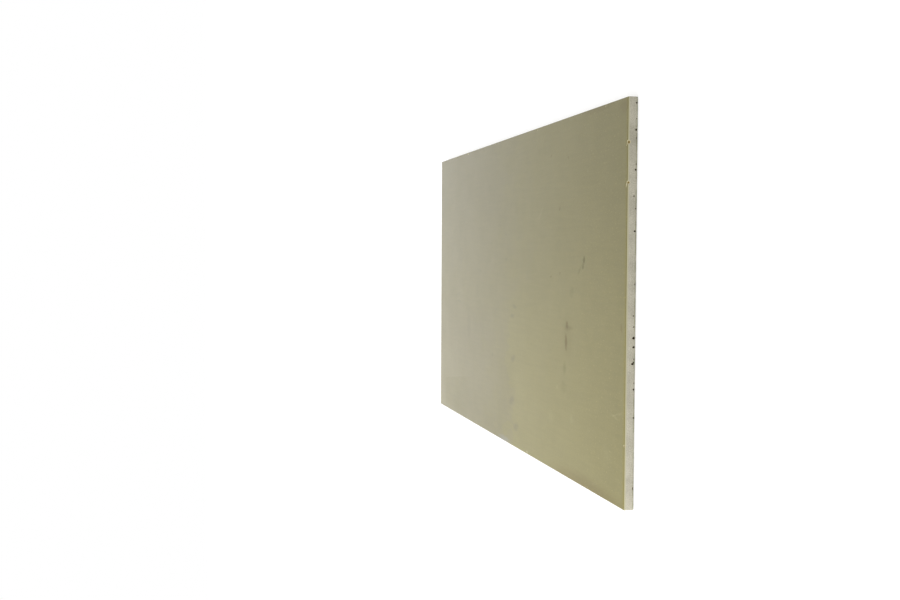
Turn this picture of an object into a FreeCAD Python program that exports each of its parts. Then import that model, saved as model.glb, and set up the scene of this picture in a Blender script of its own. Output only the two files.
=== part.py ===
"""Faux stone wall panel: one flat slab, cast in a single pour, lying on its back with its face up.

Millimetres. X runs along the length, Y across the width and Z up through the thickness.
The origin is the centre of the back, which is also what the panel rests on.
"""

import FreeCAD
import Part
import Sketcher

import os

# Driving dimensions: alias, value in millimetres, what it is.
DIMENSIONS = [
    ("panel_length", 1200, "overall length, along X"),
    ("panel_width", 600, "overall width, along Y"),
    ("panel_thickness", 15, "from the back to the face, along Z"),
    ("corner_radius", 2, "the four corners, seen from above"),
    ("face_arris_radius", 1.5, "the arris between the face and the edges"),
    ("back_arris_radius", 1, "the arris between the back and the edges"),
]
SHEET = "Sizes"
NODE = "panel"
TOUCH = 1e-6  # two heights closer than this are the same height


def add_sheet(doc):
    """The spreadsheet that every feature reads its size from."""
    sheet = doc.addObject("Spreadsheet::Sheet", SHEET)
    for row, (alias, value, meaning) in enumerate(DIMENSIONS, start=1):
        sheet.set(f"A{row}", meaning)
        sheet.set(f"B{row}", str(value))
        sheet.setAlias(f"B{row}", alias)
    doc.recompute()
    return sheet


def plane(body, role):
    """One of the body's own origin planes, such as XY_Plane."""
    return next(f for f in body.Origin.OriginFeatures if f.Role == role)


def add_outline(body, sheet):
    """The rectangle of the slab, centred on the origin, on the XY plane."""
    sketch = body.newObject("Sketcher::SketchObject", "outline")
    sketch.AttachmentSupport = (plane(body, "XY_Plane"), [""])
    sketch.MapMode = "FlatFace"
    half_length, half_width = sheet.panel_length / 2, sheet.panel_width / 2
    corners = [
        FreeCAD.Vector(x * half_length, y * half_width, 0)
        for x, y in ((-1, -1), (1, -1), (1, 1), (-1, 1))
    ]
    bottom, right, top, left = sketch.addGeometry(
        [Part.LineSegment(a, b) for a, b in zip(corners, corners[1:] + corners[:1])], False
    )
    start, end, origin = 1, 2, (-1, 1)
    for this, following in ((bottom, right), (right, top), (top, left), (left, bottom)):
        sketch.addConstraint(Sketcher.Constraint("Coincident", this, end, following, start))
    for line in (bottom, top):
        sketch.addConstraint(Sketcher.Constraint("Horizontal", line))
    for line in (right, left):
        sketch.addConstraint(Sketcher.Constraint("Vertical", line))
    sketch.addConstraint(Sketcher.Constraint("Symmetric", bottom, start, top, start, *origin))
    for name, kind, line in (("length", "DistanceX", bottom), ("width", "DistanceY", right)):
        value = getattr(sheet, f"panel_{name}")
        index = sketch.addConstraint(Sketcher.Constraint(kind, line, start, line, end, value))
        sketch.renameConstraint(index, name)
        sketch.setExpression(f"Constraints.{name}", f"{SHEET}.panel_{name}")
    return sketch


def add_slab(body, outline):
    """The outline raised through the panel's thickness."""
    slab = body.newObject("PartDesign::Pad", "slab")
    slab.Profile = outline
    slab.setExpression("Length", f"{SHEET}.panel_thickness")
    outline.Visibility = False
    return slab


def edges_where(feature, wanted):
    """The names of a feature's edges that the test picks out."""
    return [f"Edge{i}" for i, edge in enumerate(feature.Shape.Edges, start=1) if wanted(edge)]


def is_upright(edge):
    """True for a straight edge along Z, such as the slab's four corners."""
    box = edge.BoundBox
    return box.ZLength > TOUCH and box.XLength < TOUCH and box.YLength < TOUCH


def lies_at(height):
    """A test for the edges that lie flat at that height."""
    return lambda edge: max(abs(edge.BoundBox.ZMin - height), abs(edge.BoundBox.ZMax - height)) < TOUCH


def add_rounding(body, base, name, wanted, alias):
    """Rounds the picked edges of the feature before it, by the radius of that alias."""
    rounding = body.newObject("PartDesign::Fillet", name)
    rounding.Base = (base, edges_where(base, wanted))
    rounding.setExpression("Radius", f"{SHEET}.{alias}")
    body.Document.recompute()
    return rounding


def add_panel(doc, sheet):
    """The slab with its corners and both of its arrises eased."""
    body = doc.addObject("PartDesign::Body", NODE)
    body.Label = NODE
    slab = add_slab(body, add_outline(body, sheet))
    doc.recompute()
    corners = add_rounding(body, slab, "corners", is_upright, "corner_radius")
    at_face, at_back = lies_at(sheet.panel_thickness), lies_at(0)
    face_arris = add_rounding(body, corners, "face_arris", at_face, "face_arris_radius")
    add_rounding(body, face_arris, "back_arris", at_back, "back_arris_radius")
    body.Placement = FreeCAD.Placement()
    doc.recompute()
    return body


def check(doc, body):
    """Stops before anything is written if a feature failed or the solid isn't sound."""
    for item in doc.Objects:
        if {"Invalid", "Error"} & set(item.State):
            raise RuntimeError(f"{item.Name} failed to build: {item.State}")
    shape = body.Shape
    if shape.isNull() or not shape.isValid() or len(shape.Solids) != 1:
        raise RuntimeError(f"{body.Label} isn't one valid solid")


def main():
    doc = FreeCAD.newDocument("wall_panel")
    body = add_panel(doc, add_sheet(doc))
    check(doc, body)
    os.makedirs("parts", exist_ok=True)
    body.Shape.exportStep(f"parts/{body.Label}.step")
    box = body.Shape.optimalBoundingBox(False)
    print(f"{body.Label}: {box.XLength:.1f} x {box.YLength:.1f} x {box.ZLength:.1f} mm,", end=" ")
    print(f"{body.Shape.Volume / 1e6:.3f} litres, {len(body.Shape.Faces)} faces")


main()
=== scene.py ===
# %% [markdown]
# # A cast stone wall panel, lying on its back
#
# The real thing is a slab of fine cement mortar, poured face down into a smooth tray. The tray
# gives the face its even, slightly waxy skin. The edges are rawer: the paler body of the mortar
# shows there, with small air pits. Nothing is fixed to it, so the whole model is one closed mesh.
#
# The lesson goes from sizes to shape to finish to light. Lengths are in metres, as in Blender, and
# small ones are written in millimetres times MM.

import math

import bpy
import numpy as np
from mathutils import Matrix, Vector


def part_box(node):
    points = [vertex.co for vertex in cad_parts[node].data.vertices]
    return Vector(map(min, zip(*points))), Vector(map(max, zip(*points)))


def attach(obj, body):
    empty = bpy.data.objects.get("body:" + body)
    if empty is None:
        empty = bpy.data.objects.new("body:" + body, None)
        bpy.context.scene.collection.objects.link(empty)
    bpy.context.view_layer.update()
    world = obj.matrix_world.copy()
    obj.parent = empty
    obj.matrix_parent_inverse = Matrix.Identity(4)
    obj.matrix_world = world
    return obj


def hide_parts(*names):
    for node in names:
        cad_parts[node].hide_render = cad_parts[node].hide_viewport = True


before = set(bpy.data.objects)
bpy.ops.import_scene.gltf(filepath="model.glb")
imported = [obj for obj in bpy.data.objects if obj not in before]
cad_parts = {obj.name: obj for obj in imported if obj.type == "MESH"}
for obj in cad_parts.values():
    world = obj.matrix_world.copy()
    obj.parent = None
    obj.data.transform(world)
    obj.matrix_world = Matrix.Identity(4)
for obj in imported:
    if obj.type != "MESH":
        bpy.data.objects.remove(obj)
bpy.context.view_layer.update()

# %% [markdown]
# ## Sizes
#
# Every place is worked out from the solid's own box, so the finish can't drift from the part. The
# three radii are the ones that the solid is rounded with.

# %% Sizes from the solid
MM = 0.001
low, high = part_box("panel")
LENGTH, WIDTH, THICKNESS = high - low
CORNER = 2 * MM  # the four corners, seen from above
FACE_ARRIS = 1.5 * MM  # where the face turns into the edges
BACK_ARRIS = 1 * MM  # where the edges turn into the back
print(f"panel {LENGTH:.3f} x {WIDTH:.3f} x {THICKNESS:.3f} m")

# %% [markdown]
# ## Air pits
#
# Bubbles that cling to the side of the mould leave round hollows in the edges. Air rises, and the
# panel is cast face down, so most of them sit near the back. They could be cut with a Boolean and
# a handful of balls, but that leaves messy triangles. Here they are a depth added to a fine grid,
# so each one is just a place, a size and a depth.
#
# The right end's pits are placed one by one. The other three edges get a seeded scatter, so that
# they come out the same each time.

# %% Places of the pits
SIDES = ("right", "top", "left", "bottom")  # anticlockwise, seen from above
# For each pit, in millimetres: place along the edge, height above the back, width, tallness, depth.
RIGHT_PITS = [
    (-269, 1.7, 1.5, 1.5, 0.2),
    (-164.5, 1.6, 2.5, 2.2, 1),
    (-123, 1.8, 3.1, 3, 1.5),
    (-114, 1.6, 1.5, 1.5, 0.4),
    (-86, 3.9, 2.5, 4.2, 2.4),
    (-83.5, 2.6, 2, 2.2, 1.8),
    (-79, 1.8, 1.9, 1.8, 0.6),
    (-61.5, 2.3, 3.2, 4, 2.4),
    (-48.3, 2.6, 4, 4.2, 2.9),
    (-32, 2.6, 2, 2, 0.6),
    (-16, 3.5, 2, 1.9, 0.4),
    (8, 5.2, 1.2, 1.2, 0.3),
    (30, 1.6, 2.2, 2, 0.4),
    (64, 2.2, 1.2, 1.5, 0.3),
    (106.5, 2.8, 2.9, 3.1, 1.8),
    (139, 1.8, 2, 2, 0.7),
    (157, 4.7, 2, 2, 0.6),
    (183, 1.6, 1.4, 1.4, 0.4),
    (195, 2.4, 3, 3, 1.2),
    (203, 1.8, 1.6, 1.6, 0.6),
    (228, 3.3, 1.2, 1.2, 0.4),
    (240.5, 1.2, 2.2, 1.8, 0.8),
    (252.3, 2.3, 3.2, 3.1, 1.5),
    (268, 2.0, 1.6, 1.5, 0.4),
    (291, 1.9, 2.8, 2.5, 1),
]
OTHER_PITS = {"top": 26, "left": 14, "bottom": 26}  # how many on each hidden edge


def scattered_pits(count, reach, seed):
    """Pits at even chances along the edge, their heights crowding towards the back, mostly small.

    The height is 1.5 mm plus the square of a chance times 7 mm, and the width 1 mm plus its square
    times 2 mm, so a large pit is rare.
    """
    chance = np.random.default_rng(seed).random((4, count))
    place = (chance[0] * 2 - 1) * (reach - 8 * MM) / MM
    width = 1 + 2 * chance[2] ** 2
    return np.stack([place, 1.5 + 7 * chance[1] ** 2, width, width, width * (0.2 + 0.6 * chance[3])], 1)


pits = {"right": np.array(RIGHT_PITS) * MM}
for seed, (side, count) in enumerate(OTHER_PITS.items()):
    reach = WIDTH / 2 if side == "left" else LENGTH / 2
    pits[side] = scattered_pits(count, reach, seed + 11) * MM
print("pits:", {side: len(found) for side, found in pits.items()})

# %% [markdown]
# ## Chips in the face arris
#
# Where the sharp front corner was knocked, a crumb has broken out. A chip is wider than it is
# deep, and it bites at a slant, through the face and the edge at once. The arris is curved, so a
# depth measured square to its surface does that by itself.

# %% Places of the chips
# For each chip, in millimetres: place along the edge, height above the back, width, tallness, depth.
CHIPS = {
    "right": [(176.5, 13.7, 4.6, 5.4, 1.4), (234.5, 13.6, 6.2, 6.0, 1.5), (-206, 14.4, 1.8, 2.2, 0.4)],
    "top": [(-512, 14.2, 3.0, 3.0, 0.6), (-171, 14.4, 2.0, 2.0, 0.5), (338, 14.0, 4.0, 3.4, 0.8)],
    "left": [(-148, 14.2, 3.0, 3.0, 0.7), (96, 14.4, 2.0, 2.2, 0.5)],
    "bottom": [(-402, 14.2, 3.0, 3.2, 0.7), (127, 14.4, 2.2, 2.2, 0.5), (451, 14.3, 2.6, 2.6, 0.6)],
}
chips = {side: np.array(found) * MM for side, found in CHIPS.items()}
print("chips:", {side: len(found) for side, found in chips.items()})

# %% [markdown]
# ## The rim's path
#
# The rim is one profile carried round a rounded rectangle. The path is made of four blocks, one
# for each side, and each block starts and ends at the middle of a corner's arc. A column of the
# grid is three numbers: which side, how far along it, and how far its outward direction has turned
# from that side's own. Columns crowd together round the pits and chips and spread out elsewhere,
# which keeps the mesh light.

# %% Columns of the rim
TURNS = np.radians([15, 30])  # the columns on each side of a corner's middle, which is at 45 degrees
STATION_STEP = {"right": 3 * MM, "top": 7 * MM, "left": 6 * MM, "bottom": 7 * MM}
# Where columns crowd round a hollow, in its half widths from its middle.
NEAR_PIT = np.array([-1.5, -1.15, -1, -0.85, -0.65, -0.4, -0.15, 0.15, 0.4, 0.65, 0.85, 1, 1.15, 1.5])
CORNER_GAP = 0.3 * MM  # no extra column is nearer than this to a corner
LEAST_STEP = 0.2 * MM  # and none nearer than this to the one before it


def stations(side, half):
    """Places along a straight side: even steps, and 14 more across each pit or chip."""
    even = np.linspace(-half, half, round(2 * half / STATION_STEP[side]) + 1)
    found = np.concatenate([pits[side], chips[side]])
    close = (found[:, :1] + found[:, 2:3] / 2 * NEAR_PIT).ravel()
    places = np.sort(np.concatenate([even[1:-1], close[abs(close) < half - CORNER_GAP]]))
    apart = np.diff(places, prepend=-half) > LEAST_STEP
    return np.concatenate([[-half], places[apart], [half]])


blocks = []
for index, side in enumerate(SIDES):
    half = (WIDTH if index % 2 == 0 else LENGTH) / 2 - CORNER
    straight = stations(side, half)
    along = np.concatenate([[-half] * 3, straight, [half] * 2])
    turn = np.concatenate([[-math.pi / 4], -TURNS[::-1], np.zeros(len(straight)), TURNS])
    blocks.append(np.stack([np.full(len(along), index), along, turn], 1))
side_of, along_of, turn_of = np.concatenate(blocks).T
columns = len(side_of)
print("rim columns:", columns, "of which on the right end:", len(blocks[0]))

# %% [markdown]
# ## The rim's profile
#
# Seen end on, the profile starts on the face, turns down over the face arris, drops to the back
# arris and ends on the back. Each row has an inset from the outline, a height, and a lean: the
# angle of its outward direction above the floor, from 90 degrees on the face to -90 on the back.
# A short flat row at each end keeps the face and back looking flat right up to the curve.

# %% Rows of the rim
ROW_STEP = 0.45 * MM
FLAT_ROW = 0.25 * MM
ARC_STEPS = 6

face_lean = np.radians(np.linspace(90, 0, ARC_STEPS + 1))
back_lean = np.radians(np.linspace(0, -90, ARC_STEPS + 1))
drop = np.linspace(THICKNESS - FACE_ARRIS, BACK_ARRIS, round(THICKNESS / ROW_STEP))[1:-1]
inset_of = np.concatenate([
    [FACE_ARRIS + FLAT_ROW],
    FACE_ARRIS * (1 - np.cos(face_lean)),
    np.zeros(len(drop)),
    BACK_ARRIS * (1 - np.cos(back_lean)),
    [BACK_ARRIS + FLAT_ROW],
])
height_of = np.concatenate([
    [THICKNESS],
    THICKNESS - FACE_ARRIS * (1 - np.sin(face_lean)),
    drop,
    BACK_ARRIS * (1 + np.sin(back_lean)),
    [0],
])
lean_of = np.concatenate([face_lean[:1], face_lean, np.zeros(len(drop)), back_lean, back_lean[-1:]])
print("rim rows:", len(inset_of))

# %% [markdown]
# ## Relief on the edges
#
# A pit is a bowl: its depth falls off as the square root of one minus the squared distance, so it
# has a crisp lip. A chip is shallower towards its lip. The back arris was never against the mould,
# so it is a little ragged. Smooth random waves are read from a coarse lattice of seeded numbers.

# %% Bowls, chips and raggedness
def bowls(found, along, height, power):
    """Depth of the deepest hollow at each point, and how far inside a hollow the point is, 0 to 1.

    With d the distance from a hollow's centre in its own half widths, the depth is its full depth
    times (1 - d squared) to the given power, and 0 outside it.
    """
    place, level, width, tall, depth = found.T[:, :, None, None]
    inside = 1 - ((along - place) / (width / 2)) ** 2 - ((height - level) / (tall / 2)) ** 2
    inside = np.clip(inside, 0, 1)
    return (depth * inside**power).max(0), inside.max(0)


def waves(u, v, seed):
    """Smooth random numbers from 0 to 1: a lattice of chances, blended between its points.

    u and v are in lattice steps. Between two points the blend is 3t^2 - 2t^3, which has no kinks.
    """
    lattice = np.random.default_rng(seed).random((64, 64))
    iu, iv = np.floor(u).astype(int), np.floor(v).astype(int)
    tu, tv = ((t * t * (3 - 2 * t)) for t in (u - iu, v - iv))
    size = len(lattice)
    here, beyond = iu % size, (iu + 1) % size
    near, far = (
        lattice[here, row % size] * (1 - tu) + lattice[beyond, row % size] * tu for row in (iv, iv + 1)
    )
    return near * (1 - tv) + far * tv


BOWL = 0.5  # the power that makes a pit round
CRUMB = 0.8  # and the one that makes a chip shallower at its lip
RAGGED = 0.35 * MM  # the most that the back arris is worn away
RAGGED_HEIGHT = 2.2 * MM  # how high above the back the wear reaches
UNEVEN = 0.06 * MM  # how far the edges are out of flat

along, height = along_of[None, :], height_of[:, None]
depth = np.zeros((len(height_of), columns))
pit_share, chip_share = np.zeros_like(depth), np.zeros_like(depth)
for index, side in enumerate(SIDES):
    mine = side_of == index
    pit_depth, pit_share[:, mine] = bowls(pits[side], along[:, mine], height, BOWL)
    chip_depth, chip_share[:, mine] = bowls(chips[side], along[:, mine], height, CRUMB)
    depth[:, mine] = np.maximum(pit_depth, chip_depth)
near_back = np.clip(1 - height / RAGGED_HEIGHT, 0, 1) ** 1.5
on_edge = np.cos(lean_of)[:, None]
travel = along + side_of * LENGTH
wear = waves(travel / (4 * MM), height / (2 * MM) + 0 * travel, 5) ** 2
depth += RAGGED * near_back * on_edge * wear
depth += UNEVEN * on_edge * waves(travel / (9 * MM), height / (3 * MM) + 0 * travel, 6)
print(f"deepest pit {depth.max() / MM:.2f} mm")

# %% [markdown]
# ## The rim as a surface
#
# Now the two lists become one grid of points: a function of the row and the column, worked out for
# all of them at once.

# %% Points of the rim
def rim_points(inset, height, lean, depth):
    """One point for each row and column.

    From the core of the outline, the rectangle that the corners' centres lie on, the point goes
    outwards by the corner radius less the row's inset, up to the row's height, and then back
    into the slab by the depth, square to the surface.
    """
    base = side_of * math.pi / 2
    reach = np.where(side_of % 2 == 0, LENGTH, WIDTH) / 2 - CORNER
    core = np.stack([
        reach * np.cos(base) - along_of * np.sin(base),
        reach * np.sin(base) + along_of * np.cos(base),
    ])
    outward = np.stack([np.cos(base + turn_of), np.sin(base + turn_of)])
    level = outward[:, None, :] * (CORNER - inset[None, :, None] - depth * np.cos(lean)[None, :, None])
    up = height[:, None] - depth * np.sin(lean)[:, None]
    return np.concatenate([core[:, None, :] + level, up[None]]).transpose(1, 2, 0)


rim = rim_points(inset_of, height_of, lean_of, depth)
print("rim grid:", rim.shape)

# %% [markdown]
# ## Face and back
#
# The two big sides are sheets, each a grid a few millimetres short of the rim. A mould is never
# dead flat, so the face has a long shallow swell, a few hundredths of a millimetre, which shows only
# as a slow change in the sheen. The back was struck off by hand and is a little rougher. Both swell
# inwards only, so that the slab never grows past its solid.

# %% Points of the sheets
MARGIN = 6 * MM  # from the outline to a sheet's border
EASE = 40 * MM  # over which the swell grows from nothing at the border
FACE_STEP, BACK_STEP = 6 * MM, 12 * MM
FACE_SWELL, FACE_WAVE = -0.03 * MM, 160 * MM
BACK_SWELL, BACK_WAVE = 0.35 * MM, 45 * MM


def sheet_points(step, level, swell, wave, seed):
    """A level grid, pushed by 0 to `swell` into the slab, in waves about `wave` long."""
    half_x, half_y = LENGTH / 2 - MARGIN, WIDTH / 2 - MARGIN
    x, y = np.meshgrid(
        np.linspace(-half_x, half_x, round(2 * half_x / step) + 1),
        np.linspace(-half_y, half_y, round(2 * half_y / step) + 1),
        indexing="ij",
    )
    to_border = np.minimum(half_x - abs(x), half_y - abs(y))
    ease = np.clip(to_border / EASE, 0, 1)
    height = level + swell * ease * waves((x + 1) / wave, (y + 1) / wave, seed)
    return np.stack([x, y, height], -1)


face_sheet = sheet_points(FACE_STEP, THICKNESS, FACE_SWELL, FACE_WAVE, 21)
back_sheet = sheet_points(BACK_STEP, 0, BACK_SWELL, BACK_WAVE, 22)
print("face grid:", face_sheet.shape[:2], "back grid:", back_sheet.shape[:2])

# %% [markdown]
# ## Joining them into one skin
#
# The rim has far more columns than a sheet has border points, so the two can't share points. They
# are joined like a zip: both loops are given the same walk, a number that runs from 0 to 4 round
# the four sides, and each step on either loop makes one triangle to the last point passed on the
# other. Every border point is used, and no gap is left.

# %% The zip
def walk(points, side):
    """The side's number, plus how far along that side a loop's point is, from 0 to 1.

    Along a side the loop runs from -m to m, so the share is half of place over m, plus a half.
    """
    side = side.astype(int)
    base = side * math.pi / 2
    going = points[:, 1] * np.cos(base) - points[:, 0] * np.sin(base)
    most = np.array([-going[side == k].min() for k in range(len(SIDES))])
    return side + (going / most[side] + 1) / 2


def zip_loops(outer, outer_walk, inner, inner_walk):
    """Triangles between two closed loops of point numbers, both walked anticlockwise from 0 to 4."""
    outer_next = np.append(outer_walk[1:], 4)
    inner_next = np.append(inner_walk[1:], 4)
    partner = np.searchsorted(inner_walk, outer_next, "left") - 1
    wide = np.stack([outer, np.roll(outer, -1), inner[partner]], 1)
    partner = (np.searchsorted(np.append(outer_walk, 4), inner_next, "right") - 1) % len(outer)
    narrow = np.stack([outer[partner], np.roll(inner, -1), inner], 1)
    return np.concatenate([wide, narrow])


def border(numbers):
    """The border of a grid of point numbers, and the side that each is on.

    It runs anticlockwise from the lower end of the right side.
    """
    parts = [numbers[-1, :-1], numbers[:0:-1, -1], numbers[0, :0:-1], numbers[:-1, 0]]
    return np.concatenate(parts), np.concatenate([np.full(len(p), k) for k, p in enumerate(parts)])


def quads(numbers, wrap):
    """Four-sided faces of a grid of point numbers, joined round in its second direction if it wraps."""
    if wrap:
        numbers = np.concatenate([numbers, numbers[:, :1]], 1)
    corners = [numbers[:-1, :-1], numbers[1:, :-1], numbers[1:, 1:], numbers[:-1, 1:]]
    return np.stack(corners, -1).reshape(-1, 4)


points = np.concatenate([grid.reshape(-1, 3) for grid in (rim, face_sheet, back_sheet)])
rim_ids, face_ids, back_ids = (
    np.arange(start, start + grid[..., 0].size).reshape(grid.shape[:2])
    for start, grid in (
        (0, rim),
        (rim[..., 0].size, face_sheet),
        (rim[..., 0].size + face_sheet[..., 0].size, back_sheet),
    )
)
rim_quads = quads(rim_ids, wrap=True)
face_quads = quads(face_ids, wrap=False)
back_quads = quads(back_ids, wrap=False)[:, ::-1]
face_loop, face_side = border(face_ids)
back_loop, back_side = border(back_ids)
face_walk = walk(points[face_loop], face_side)
back_walk = walk(points[back_loop], back_side)
face_zip = zip_loops(rim_ids[0], walk(rim[0], side_of), face_loop, face_walk)
back_zip = zip_loops(rim_ids[-1], walk(rim[-1], side_of), back_loop, back_walk)[:, ::-1]
four = np.concatenate([rim_quads, face_quads, back_quads])
three = np.concatenate([face_zip, back_zip])
print("quads:", len(four), "zip triangles:", len(three))

# %% [markdown]
# ## The mesh
#
# The three grids and the two zips make one closed skin. Two numbers are stored on its points for
# the finish to read: how far inside a pit the point is, and how far inside a chip. In a closed skin
# each edge is shared by exactly two faces, and one that faces outwards has a positive volume, so
# both are printed.

# %% Build the mesh
def store(mesh, name, values):
    """Keeps one number for each point of the mesh, for its material to read."""
    mesh.attributes.new(name, "FLOAT", "POINT").data.foreach_set("value", values.astype(np.float32))


mesh = bpy.data.meshes.new("cast_panel")
mesh.from_pydata(points.tolist(), [], four.tolist() + three.tolist())
mesh.shade_smooth()
rest = len(points) - rim[..., 0].size
store(mesh, "pit", np.append(pit_share.ravel(), np.zeros(rest)))
store(mesh, "chip", np.append(chip_share.ravel(), np.zeros(rest)))
panel = bpy.data.objects.new("cast_panel", mesh)
bpy.context.scene.collection.objects.link(panel)


def volume(mesh):
    """Sum over the triangles of a . (b x c) / 6, which is the volume inside a closed skin."""
    mesh.calc_loop_triangles()
    place = np.zeros(len(mesh.vertices) * 3, np.float32)
    mesh.vertices.foreach_get("co", place)
    corner = np.zeros(len(mesh.loop_triangles) * 3, np.int32)
    mesh.loop_triangles.foreach_get("vertices", corner)
    a, b, c = place.reshape(-1, 3).astype(float)[corner.reshape(-1, 3)].transpose(1, 0, 2)
    return (a * np.cross(b, c)).sum() / 6


ends = [np.stack([faces, np.roll(faces, -1, 1)], -1).reshape(-1, 2) for faces in (four, three)]
shared_by = np.unique(np.sort(np.concatenate(ends), 1), axis=0, return_counts=True)[1]
litres = volume(mesh) * 1000
print("triangles:", len(mesh.loop_triangles), "volume:", round(litres, 3), "litres")
print("faces that share an edge, least and most (both should be 2):", shared_by.min(), shared_by.max())

# %% [markdown]
# ## Helpers for the finish
#
# A material is a tree of nodes. Adding one takes three steps: make it, set it, and join it to what
# feeds it. The helper does all three and hands back the new node's output, so a finish reads like
# a sum. Everything is placed with Object coordinates, which are metres in the panel's own frame.

# %% Node helpers
def node(tree, kind, inputs, output=0, **settings):
    """Adds a node, sets it up, feeds its inputs with values or other outputs, and returns its output."""
    made = tree.nodes.new(kind)
    for name, value in settings.items():
        setattr(made, name, value)
    for socket, value in inputs.items():
        if isinstance(value, bpy.types.NodeSocket):
            tree.links.new(value, made.inputs[socket])
        else:
            made.inputs[socket].default_value = value
    return made.outputs[output]


def maths(tree, operation, *values):
    """One sum, such as ADD or MULTIPLY, of one or two values."""
    return node(tree, "ShaderNodeMath", dict(enumerate(values)), operation=operation)


def times(tree, product, *others):
    """The product of all the values."""
    for value in others:
        product = maths(tree, "MULTIPLY", product, value)
    return product


def fade(tree, value, start, stop, least=0.0, most=1.0):
    """Goes smoothly from `least` to `most` as the value goes from `start` to `stop`."""
    inputs = {0: value, 1: start, 2: stop, 3: least, 4: most}
    return node(tree, "ShaderNodeMapRange", inputs, interpolation_type="SMOOTHSTEP")


def band(tree, value, low, high, soft):
    """1 while the value is between low and high, going smoothly to 0 within `soft` outside them."""
    return times(tree, fade(tree, value, low - soft, low), fade(tree, value, high + soft, high))


def mix(tree, share, under, over, way="MIX"):
    """Lays one colour over another, by a share from 0 to 1."""
    inputs = {0: share, 6: under, 7: over}
    return node(tree, "ShaderNodeMix", inputs, 2, data_type="RGBA", blend_type=way)


def grain(tree, place, size, stretch=(1, 1, 1), detail=2.0):
    """Cloudy noise from 0 to 1 in patches about `size` metres across, longer where stretch is under 1."""
    scaled = node(tree, "ShaderNodeMapping", {"Vector": place, "Scale": stretch})
    return node(tree, "ShaderNodeTexNoise", {"Vector": scaled, "Scale": 1 / size, "Detail": detail})


def grey(level):
    """A neutral colour; over 1 it lightens what it multiplies."""
    return (level, level, level, 1)


# %% [markdown]
# ## The face: pigment, clouding and drag
#
# The pigmented skin is an olive beige. It is never one flat colour: the mix clouds as it flows, it
# drags slightly along the length where it was worked, and the release agent leaves one half
# yellower and the other greyer, with a frayed border between them where the agent dried. Each of
# these is a noise of its own size, laid on lightly. Light and shade are painted in as well: the
# face is lighter towards its bottom side and darker towards its top side and its ends, and the far
# end is painted browner to temper the sheen there.

# %% Colour of the face
OLIVE = (0.182, 0.162, 0.068, 1)
ASHEN = (0.925, 0.915, 1.05, 1)  # what the greyer half is multiplied by
YELLOWED = (1.0, 1.0, 0.92, 1)  # and the yellower half
FAR_SHEEN_TEMPER = (1.0, 0.985, 0.84, 1)  # and the far end, over and above that: painted browner to temper the sheen there
LIP_OLIVE = (1.0, 0.98, 0.76, 1)  # and the last few millimetres of the right end
TIDE_TAN = (0.93, 0.93, 0.80, 1)  # and the patch where water stood
TIDE_SLOPE = 0.114  # of the line that the water left, along the length
TIDE_LEVEL = -0.165  # where that line crosses the middle of the length
TIDE_EDGE = 0.002  # half the width over which it fades


def tide_mark(tree, across):
    """Where water stood at the far bottom corner: a patch whose upper edge is one straight line."""
    rise = maths(tree, "MULTIPLY_ADD", across["X"], -TIDE_SLOPE, across["Y"])
    below = fade(tree, rise, TIDE_LEVEL + TIDE_EDGE, TIDE_LEVEL - TIDE_EDGE)
    strong = band(tree, across["X"], -0.53, -0.42, 0.03)
    weaker = times(tree, band(tree, across["X"], -0.45, -0.36, 0.07), 0.7)
    ends = maths(tree, "MAXIMUM", strong, weaker)
    low = fade(tree, across["Y"], -0.296, -0.280)
    return times(tree, below, ends, low)


def face_colour(tree, place, across):
    """The skin's colour: the olive, times its clouding, its drag, its two halves and its painted shade.
    """
    clouds = fade(tree, grain(tree, place, 0.30), 0.3, 0.7, 0.98, 1.02)
    mottle = fade(tree, grain(tree, place, 0.03, detail=4.0), 0.3, 0.7, 0.982, 1.018)
    drag = fade(tree, grain(tree, place, 0.007, (0.08, 1, 1), 4.0), 0.3, 0.7, 0.978, 1.022)
    speckle = fade(tree, grain(tree, place, 0.0016), 0.25, 0.75, 0.95, 1.05)
    fleck = fade(tree, grain(tree, place, 0.003, (0.5, 1, 1), 3.0), 0.60, 0.70, 0.0, 0.25)
    fleck = maths(tree, "MULTIPLY_ADD", fleck, fade(tree, across["X"], 0.30, 0.50), 1.0)
    # Painted light and shade: lighter towards the bottom side, darker towards the top side and the ends.
    painted_light_across = fade(tree, across["Y"], -WIDTH / 2, WIDTH / 2, 1.12, 0.83)
    painted_shade_far = fade(tree, across["X"], -LENGTH / 2, 0.2, 0.94, 1.06)
    painted_shade_near = fade(tree, across["X"], 0.3, LENGTH / 2, 1.0, 0.96)
    tone = times(tree, clouds, mottle, drag, speckle, painted_light_across, painted_shade_far, painted_shade_near, fleck)
    fray = maths(tree, "MULTIPLY_ADD", grain(tree, place, 0.04, (0.5, 1, 1), 4.0), 0.50, -0.26)
    frayed = maths(tree, "ADD", across["X"], fray)
    sharp = times(tree, fade(tree, frayed, 0.012, 0.0), fade(tree, frayed, 0.0, -0.25, 0.45, 1.0))
    soft = fade(tree, frayed, 0.2, -0.2, 0.0, 0.55)
    near_sharp = fade(tree, across["Y"], 0.0, -0.12)
    ashen = node(tree, "ShaderNodeMix", {0: near_sharp, 2: soft, 3: sharp})
    colour = mix(tree, ashen, YELLOWED, ASHEN)
    # The far end is painted browner, to temper the sheen there.
    far = fade(tree, across["X"], -0.1, -LENGTH / 2)
    lip = fade(tree, across["X"], LENGTH / 2 - 12 * MM, LENGTH / 2 - 3 * MM)
    colour = mix(tree, far, colour, FAR_SHEEN_TEMPER, "MULTIPLY")
    colour = mix(tree, 1.0, OLIVE, colour, "MULTIPLY")
    colour = mix(tree, tide_mark(tree, across), colour, TIDE_TAN, "MULTIPLY")
    colour = mix(tree, lip, colour, LIP_OLIVE, "MULTIPLY")
    return mix(tree, 1.0, colour, tone, "MULTIPLY")


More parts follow.
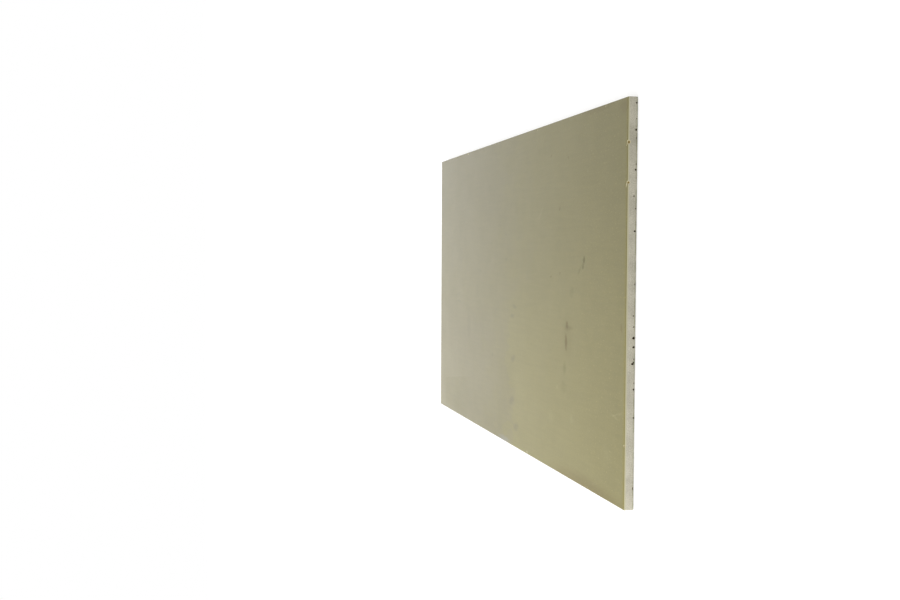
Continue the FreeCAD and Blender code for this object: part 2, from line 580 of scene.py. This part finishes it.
# %% [markdown]
# ## The face: marks of handling
#
# A second-hand slab carries stains, scuffs and dust. Each is a soft ellipse with a place, a length,
# a width and a turn, and its outline is pushed about by a noise so that no two look alike. A group
# node holds the ellipse once. Each mark multiplies what is under it: by less than 1 for a stain, by
# more than 1 for dust or a scuff.

# %% Marks on the face
STAIN = (0.62, 0.52, 0.25, 1)
MOSS = (0.54, 0.54, 0.28, 1)
SMUDGE = (0.78, 0.77, 0.76, 1)
BRUISE = (0.84, 0.83, 0.90, 1)
DUST = (1.16, 1.18, 1.30, 1)
RUST = (0.80, 0.68, 0.50, 1)
GREEN = (0.82, 0.88, 0.78, 1)
# A bluish white lightening, laid as one smear along the middle of the bottom edge.
BLUISH_WHITE = (1.08, 1.15, 2.0, 1)
SHADE = (0.90, 0.90, 0.84, 1)
BROWNED = (0.84, 0.78, 0.70, 1)
DULL = (0.92, 0.92, 0.93, 1)
# For each mark, in millimetres and degrees: x, y, length, width, turn, strength, tint.
MARKS = [
    (422, 64, 17, 16, 0, 1.0, MOSS),
    (418, 54, 16, 12, 30, 0.7, MOSS),
    (402, 47, 34, 9, 40, 0.3, MOSS),
    (343, -45, 20, 17, 0, 0.8, STAIN),
    (350, -50, 66, 12, 4, 0.35, STAIN),
    (339, -74, 17, 38, 6, 0.85, STAIN),
    (332, -118, 24, 30, 0, 0.35, MOSS),
    (364, 10, 34, 26, 28, 0.22, MOSS),
    (345, -65, 64, 96, 0, 0.14, STAIN),
    (330, -150, 44, 30, 0, 0.2, MOSS),
    (253, 243, 10, 8, 0, 0.5, STAIN),
    (343, 234, 9, 8, 0, 0.45, STAIN),
    (300, 150, 11, 9, 0, 0.45, STAIN),
    (257, 34, 14, 6, 5, 0.5, STAIN),
    (305, 40, 8, 6, 0, 0.4, STAIN),
    (198, 147, 40, 10, 38, 0.5, DUST),
    (185, 138, 12, 12, 0, 0.3, DUST),
    (435, 205, 12, 9, 0, 0.5, DUST),
    (462, 212, 12, 6, 0, 0.35, DUST),
    (510, 212, 10, 6, 0, 0.35, DUST),
    (295, -155, 12, 11, 0, 0.7, DUST),
    (370, -200, 26, 22, 0, 0.5, DUST),
    (260, -210, 46, 34, 0, 0.3, DUST),
    (530, -230, 46, 44, 0, 0.25, DUST),
    (567, -164, 66, 5, 12, 0.9, DUST),
    (560, -168, 52, 5, -14, 0.7, DUST),
    (583, -35, 10, 20, 0, 0.55, RUST),
    (-25, 62, 18, 9, 0, 0.5, SMUDGE),
    (-25, 112, 18, 7, 0, 0.35, SMUDGE),
    (-220, 37, 26, 7, -8, 0.4, SMUDGE),
    (35, -28, 46, 12, -10, 0.8, BRUISE),
    (22, -47, 40, 12, 5, 0.8, BRUISE),
    (-120, -135, 14, 12, 0, 0.5, SMUDGE),
    (-163, -170, 12, 11, 0, 0.45, SMUDGE),
    (28, -130, 42, 18, 14, 1.0, BRUISE),
    (22, -212, 50, 22, 20, 1.0, BRUISE),
    (52, -260, 46, 22, 16, 1.0, BRUISE),
    (-420, -20, 56, 7, 4, 0.35, SMUDGE),
    (-410, -36, 56, 7, -4, 0.35, SMUDGE),
    (-320, -90, 50, 70, 0, 0.25, SMUDGE),
    (-400, 70, 70, 50, 0, 0.2, SMUDGE),
    (-580, 170, 28, 30, 0, 0.7, GREEN),
    (-30, -296, 112, 20, 0, 0.9, BLUISH_WHITE),
    (-240, -300, 860, 250, 0, 0.9, SHADE),
    (-437, -213, 190, 5, 6.5, 0.4, DUST),
    (430, -300, 460, 54, 0, 0.9, BROWNED),
    (588, 288, 60, 26, 0, 0.6, BROWNED),
    (470, 296, 160, 14, 0, 0.5, BROWNED),
    (-30, -190, 210, 260, 0, 0.8, DULL),
]
SHOVE = 9 * MM  # how far the noise pushes a mark's outline about
SHOVE_SCALE = 110  # how many of its patches there are to the metre


def mark_group():
    """A group node: a soft ellipse, 1 at its middle and 0 at its outline, at a place, turn and size."""
    tree = bpy.data.node_groups.new("soft_mark", "ShaderNodeTree")
    for name in ("Point", "Place", "Turn", "Size"):
        tree.interface.new_socket(name, in_out="INPUT", socket_type="NodeSocketVector")
    tree.interface.new_socket("Share", in_out="OUTPUT", socket_type="NodeSocketFloat")
    given = tree.nodes.new("NodeGroupInput")
    inputs = {"Vector": given.outputs["Point"], "Location": given.outputs["Place"],
              "Rotation": given.outputs["Turn"], "Scale": given.outputs["Size"]}
    local = node(tree, "ShaderNodeMapping", inputs, vector_type="TEXTURE")
    distance = node(tree, "ShaderNodeVectorMath", {0: local}, 1, operation="LENGTH")
    tree.links.new(fade(tree, distance, 1.0, 0.25), tree.nodes.new("NodeGroupOutput").inputs[0])
    return tree


def lay_marks(tree, place, colour):
    """Multiplies the colour by each mark's tint, by its share and strength."""
    shove = node(tree, "ShaderNodeTexNoise", {"Vector": place, "Scale": SHOVE_SCALE, "Detail": 3.0}, 1)
    shove = node(tree, "ShaderNodeVectorMath", {0: shove, 1: (0.5, 0.5, 0.5)}, operation="SUBTRACT")
    shove = node(tree, "ShaderNodeVectorMath", {0: shove, 3: SHOVE}, operation="SCALE")
    ragged = node(tree, "ShaderNodeVectorMath", {0: place, 1: shove}, operation="ADD")
    group = mark_group()
    for x, y, length, width, turn, strength, tint in MARKS:
        inputs = {
            "Point": ragged,
            "Place": (x * MM, y * MM, THICKNESS),
            "Turn": (0, 0, math.radians(turn)),
            "Size": (length / 2 * MM, width / 2 * MM, 10 * MM),
        }
        share = node(tree, "ShaderNodeGroup", inputs, node_tree=group)
        colour = mix(tree, times(tree, share, strength), colour, tint, "MULTIPLY")
    return colour


print("marks on the face:", len(MARKS))

# %% [markdown]
# ## The edges and the back: bare mortar
#
# Away from the tray the mortar is paler and greyer, grainy, and rough enough to look chalky. The
# skin's pigment wraps over the face arris and stops a little way down, in a thin paler line. Shade
# is painted near the back arris, where the edge meets the floor, and the pits are painted nearly
# black as shade. The back is the same mortar, smoothed with a float, in broad patches.

# %% Colours of the bare mortar
MORTAR = (0.364, 0.344, 0.274, 1)
RIM_LINE = (0.37, 0.35, 0.24, 1)
# Painted shade: the pits are painted nearly black.
PIT_SHADE = (0.044, 0.031, 0.014, 1)
DAMP = (0.86, 0.86, 0.84, 1)
# Painted shade by the back arris, where the edge meets the floor:
ARRIS_SHADE = (0.66, 0.70, 0.60, 1)  # what the mortar by the back arris is multiplied by
ARRIS_SHADE_LOW, ARRIS_SHADE_HIGH = 1.5 * MM, 3.0 * MM  # whole below the first, gone above the second
CHIP_PALE = (0.50, 0.46, 0.30, 1)
CHIP_BROWN = (0.20, 0.145, 0.05, 1)
FLOAT_GREY = (0.33, 0.312, 0.255, 1)


def mortar_colour(tree, place, across):
    """Bare mortar: sandy grain, faint layers along the edge, and painted shade, darker and greener,
    by the back arris.
    """
    sand = fade(tree, grain(tree, place, 0.0016, detail=4.0), 0.25, 0.75, 0.82, 1.18)
    patch = fade(tree, grain(tree, place, 0.022, detail=3.0), 0.3, 0.7, 0.92, 1.08)
    layer = fade(tree, grain(tree, place, 0.0025, (0.05, 0.05, 1)), 0.3, 0.7, 0.97, 1.03)
    tone = times(tree, sand, patch, layer)
    colour = mix(tree, 1.0, MORTAR, tone, "MULTIPLY")
    damp = times(tree, band(tree, across["Y"], 0.236, 0.254, 0.012), fade(tree, across["X"], 0.4, 0.6))
    colour = mix(tree, damp, colour, DAMP, "MULTIPLY")
    # Painted shade by the back arris, where the edge meets the floor, broken up by a noise.
    low = fade(tree, across["Z"], ARRIS_SHADE_HIGH, ARRIS_SHADE_LOW)
    painted_arris_shade = times(tree, low, fade(tree, grain(tree, place, 0.016, detail=4.0), 0.38, 0.60, 0.25, 1.0))
    return mix(tree, painted_arris_shade, colour, ARRIS_SHADE, "MULTIPLY")


def back_colour(tree, place):
    """The floated back: grey mortar in broad patches, with a fine sandy grain."""
    patch = fade(tree, grain(tree, place, 0.16, detail=4.0), 0.3, 0.7, 0.9, 1.08)
    sand = fade(tree, grain(tree, place, 0.0022, detail=3.0), 0.25, 0.75, 0.9, 1.1)
    return mix(tree, 1.0, FLOAT_GREY, times(tree, patch, sand), "MULTIPLY")


# %% [markdown]
# ## The whole finish
#
# One material covers the panel, because it is one casting: the height above the floor says where
# the skin ends and the mortar starts. The skin is slightly waxy, so a low view picks up a sheen;
# bare mortar is dull. Two bumps, a fine sandy one and a broad one, break the light up.

# %% The panel's material
SKIN_WHOLE, SKIN_GONE = 1.6 * MM, 3.6 * MM  # how far below the face the skin starts and ends its stop
LINE_STARTS, LINE_WHOLE = 0.15 * MM, 1.0 * MM  # and the paler line starts, and is whole
WOBBLE = 0.8 * MM  # how far the skin's stop strays up and down
BACK_WHOLE, BACK_GONE = 0.1 * MM, 0.4 * MM  # how high the back's colour reaches
BARE_ROUGHNESS = 0.85
SHINE = 0.15  # the specular level, a third of the usual
BROAD_BUMP, SANDY_BUMP = 0.03 * MM, 0.25 * MM


def cast_stone():
    """The panel's one material: skin above, mortar round the sides, floated mortar below."""
    material = bpy.data.materials.new("cast_stone")
    material.use_nodes = True
    tree = material.node_tree
    shader = tree.nodes["Principled BSDF"]
    place = node(tree, "ShaderNodeTexCoord", {}, "Object")
    split = tree.nodes.new("ShaderNodeSeparateXYZ")
    tree.links.new(place, split.inputs[0])
    across = {axis: split.outputs[axis] for axis in "XYZ"}
    pit = node(tree, "ShaderNodeAttribute", {}, "Fac", attribute_name="pit")
    chip = node(tree, "ShaderNodeAttribute", {}, "Fac", attribute_name="chip")

    wobble = maths(tree, "MULTIPLY_ADD", grain(tree, place, 0.012, detail=3.0), 2 * WOBBLE, -WOBBLE)
    level = maths(tree, "ADD", across["Z"], wobble)
    skin = fade(tree, level, THICKNESS - SKIN_GONE, THICKNESS - SKIN_WHOLE)
    line = fade(tree, across["Z"], THICKNESS - LINE_STARTS, THICKNESS - LINE_WHOLE)
    under = fade(tree, across["Z"], BACK_GONE, BACK_WHOLE)

    colour = lay_marks(tree, place, face_colour(tree, place, across))
    colour = mix(tree, line, colour, RIM_LINE)
    colour = mix(tree, skin, mortar_colour(tree, place, across), colour)
    colour = mix(tree, under, colour, back_colour(tree, place))
    colour = mix(tree, fade(tree, chip, 0.0, 0.12), colour, CHIP_PALE)
    colour = mix(tree, fade(tree, chip, 0.25, 0.6), colour, CHIP_BROWN)
    # Painted shade in the pits.
    colour = mix(tree, fade(tree, pit, 0.0, 0.3), colour, PIT_SHADE)
    tree.links.new(colour, shader.inputs["Base Color"])

    waxy = fade(tree, grain(tree, place, 0.05, detail=4.0), 0.3, 0.7, 0.393, 0.407)
    roughness = node(tree, "ShaderNodeMix", {0: skin, 2: BARE_ROUGHNESS, 3: waxy})
    tree.links.new(roughness, shader.inputs["Roughness"])
    shader.inputs["Specular IOR Level"].default_value = SHINE

    clouds = grain(tree, place, 0.02, detail=2.0)
    broad = node(tree, "ShaderNodeBump", {"Height": clouds, "Distance": BROAD_BUMP})
    sandy = times(tree, grain(tree, place, 0.0011, detail=3.0), fade(tree, skin, 1.0, 0.0, 0.12, 1.0))
    fine = node(tree, "ShaderNodeBump", {"Height": sandy, "Distance": SANDY_BUMP, "Normal": broad})
    tree.links.new(fine, shader.inputs["Normal"])
    return material


material = cast_stone()
mesh.materials.append(material)
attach(panel, "root")
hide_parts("panel")
print("material nodes:", len(material.node_tree.nodes))

# %% [markdown]
# ## The studio: floor and light
#
# The panel lies on a plain white sweep under a white tent. The tent is the world's own even light,
# and the floor glows a little, as a lit sweep does, so that both come out white with no horizon.
# Three soft lamps add to that. A small one by the right front corner lifts the near edge, a low one
# behind the far end skims the face and gives it its sheen, and a broad one off the long front side
# lights the face from there.

# %% Floor, world and lamps
FLOOR_SIZE = 60.0
FLOOR_DROP = 0.3 * MM
FLOOR_WHITE = 0.62
FLOOR_GLOW = 0.45
TENT = 1.0  # the world's brightness


def white_floor():
    """One large square, just below the back."""
    half = FLOOR_SIZE / 2
    corners = [(x * half, y * half, -FLOOR_DROP) for x, y in ((-1, -1), (1, -1), (1, 1), (-1, 1))]
    floor_mesh = bpy.data.meshes.new("floor")
    floor_mesh.from_pydata(corners, [], [(0, 1, 2, 3)])
    floor = bpy.data.objects.new("floor", floor_mesh)
    bpy.context.scene.collection.objects.link(floor)
    paint = bpy.data.materials.new("white_sweep")
    paint.use_nodes = True
    shader = paint.node_tree.nodes["Principled BSDF"]
    shader.inputs["Base Color"].default_value = grey(FLOOR_WHITE)
    shader.inputs["Roughness"].default_value = 1.0
    shader.inputs["Specular IOR Level"].default_value = 0.0
    shader.inputs["Emission Color"].default_value = grey(1.0)
    shader.inputs["Emission Strength"].default_value = FLOOR_GLOW
    floor_mesh.materials.append(paint)


def soft_lamp(name, place, target, size, power):
    """A square lamp that faces the target, in watts."""
    light = bpy.data.lights.new(name, "AREA")
    light.shape = "RECTANGLE"
    light.size, light.size_y = size
    light.energy = power
    lamp = bpy.data.objects.new(name, light)
    bpy.context.scene.collection.objects.link(lamp)
    lamp.location = place
    lamp.visible_camera = False
    lamp.rotation_euler = (Vector(target) - Vector(place)).to_track_quat("-Z", "Y").to_euler()


world = bpy.data.worlds.new("tent")
world.use_nodes = True
world.node_tree.nodes["Background"].inputs["Color"].default_value = grey(1.0)
world.node_tree.nodes["Background"].inputs["Strength"].default_value = TENT
bpy.context.scene.world = world
bpy.context.scene.view_settings.view_transform = "Standard"
white_floor()
right_front = Vector((LENGTH / 2, -WIDTH / 2, THICKNESS))
soft_lamp(
    "corner_lamp",
    place=right_front + Vector((0.35, -0.12, 0.04)),
    target=right_front,
    size=(0.25, 0.1),
    power=0.58,
)
soft_lamp(
    "skimming_lamp",
    place=(-LENGTH / 2 - 1.2, 0, 0.28),
    target=(0, 0, THICKNESS),
    size=(2.0, 0.4),
    power=5.3,
)
soft_lamp(
    "side_lamp",
    place=(0.1, -1.5, 0.6),
    target=(0.1, 0, THICKNESS),
    size=(2.4, 0.8),
    power=25.0,
)

# %% [markdown]
# ## The camera
#
# The camera is a step beyond the right end, low over the face, and looks along the slab with a
# slight turn. It is rolled a quarter turn, so that the panel seems to stand on its long side.

# %% Camera
STEP_BACK = 1.5237  # beyond the right end
ABOVE = 0.622  # above the face
ASIDE = 0.072  # towards the top side
PAN = math.radians(2.39)  # to the left of straight along the slab
TILT = math.radians(13.30)  # below level
ROLL = math.radians(-90.27)
LENS = 45.06  # millimetres, on a sensor 36 mm wide

camera = bpy.data.objects.new("camera", bpy.data.cameras.new("camera"))
bpy.context.scene.collection.objects.link(camera)
camera.data.lens = LENS
camera.data.sensor_width = 36
level_look = Matrix.Rotation(math.pi / 2 + PAN, 4, "Z") @ Matrix.Rotation(math.pi / 2 - TILT, 4, "X")
stand = Matrix.Translation((LENGTH / 2 + STEP_BACK, ASIDE, THICKNESS + ABOVE))
camera.matrix_world = stand @ level_look @ Matrix.Rotation(ROLL, 4, "Z")
bpy.context.scene.camera = camera
print("camera at", [round(c, 3) for c in camera.location])
